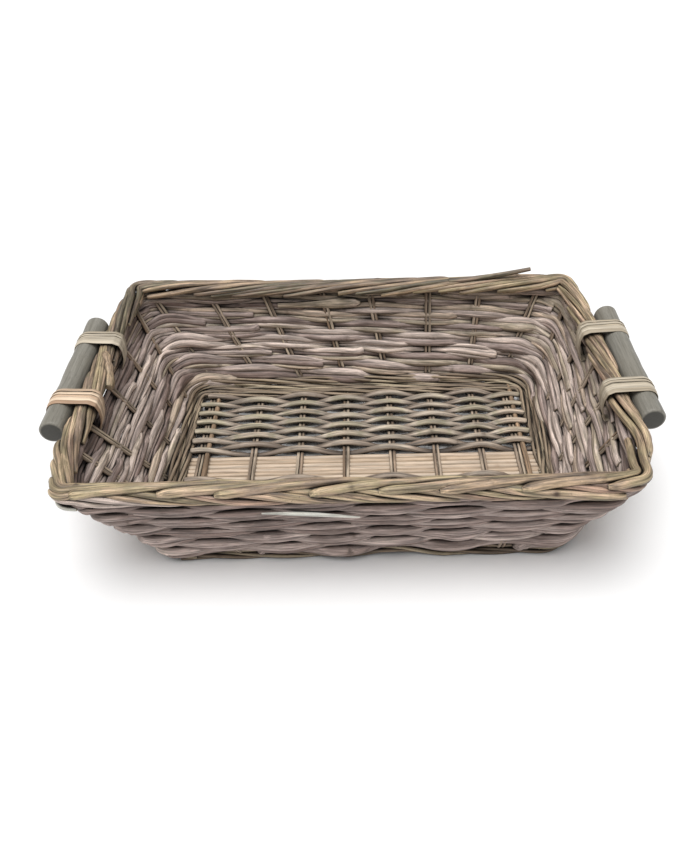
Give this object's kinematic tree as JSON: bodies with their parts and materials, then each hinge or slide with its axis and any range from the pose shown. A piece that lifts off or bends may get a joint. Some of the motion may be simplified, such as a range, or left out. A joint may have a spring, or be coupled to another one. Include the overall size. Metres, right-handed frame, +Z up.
{
  "type": "wicker log basket",
  "caption": "Low oblong woven willow basket with flaring walls, a plaited border and a lashed wooden dowel grip on each short side, for logs or kindling.",
  "frame": {"origin": "on the surface that the basket stands on, under the middle of the whole basket with its handles", "axes": "+X along the long side to the right, +Y to the back, +Z up"},
  "size_m": [0.574, 0.351, 0.1354],
  "materials": {
    "wall_willow": "matt grey-brown willow rods, unpeeled and weathered",
    "base_willow": "matt grey-olive willow rods",
    "stake_willow": "matt brown willow rods",
    "strip_willow": "pale peeled willow rods, satin",
    "end_stick_willow": "matt tan-brown willow stick",
    "upsett_willow": "thin matt green-brown willow rods",
    "border_willow": "thick smooth tan willow rods, satin",
    "handle_wood": "weathered grey turned wood, satin",
    "binding_cane": "split cane, satin"
  },
  "bodies": {
    "root": {"base_weave_back": "base_willow", "base_weave_front": "base_willow", "binding_left_back": "binding_cane", "binding_left_front": "binding_cane", "binding_right_back": "binding_cane", "binding_right_front": "binding_cane", "border_back": "border_willow", "border_front": "border_willow", "border_left": "border_willow", "border_right": "border_willow", "corner_weave_back_left": "wall_willow", "corner_weave_back_right": "wall_willow", "corner_weave_front_left": "wall_willow", "corner_weave_front_right": "wall_willow", "end_stick_left": "end_stick_willow", "end_stick_right": "end_stick_willow", "handle_left": "handle_wood", "handle_right": "handle_wood", "left_stake_pair_1": "stake_willow", "left_stake_pair_2": "stake_willow", "left_stake_pair_3": "stake_willow", "left_stake_pair_4": "stake_willow", "left_stake_pair_5": "stake_willow", "left_stake_pair_6": "stake_willow", "right_stake_pair_1": "stake_willow", "right_stake_pair_2": "stake_willow", "right_stake_pair_3": "stake_willow", "right_stake_pair_4": "stake_willow", "right_stake_pair_5": "stake_willow", "right_stake_pair_6": "stake_willow", "stake_pair_1": "stake_willow", "stake_pair_2": "stake_willow", "stake_pair_3": "stake_willow", "stake_pair_4": "stake_willow", "stake_pair_5": "stake_willow", "stake_pair_6": "stake_willow", "stake_pair_7": "stake_willow", "stake_pair_8": "stake_willow", "strip_rod_1": "strip_willow", "strip_rod_2": "strip_willow", "strip_rod_3": "strip_willow", "strip_rod_4": "strip_willow", "strip_rod_5": "strip_willow", "strip_rod_6": "strip_willow", "upsett_back": "upsett_willow", "upsett_front": "upsett_willow", "upsett_left": "upsett_willow", "upsett_right": "upsett_willow", "wall_weave_back": "wall_willow", "wall_weave_front": "wall_willow", "wall_weave_left": "wall_willow", "wall_weave_right": "wall_willow"}
  },
  "joints": []
}
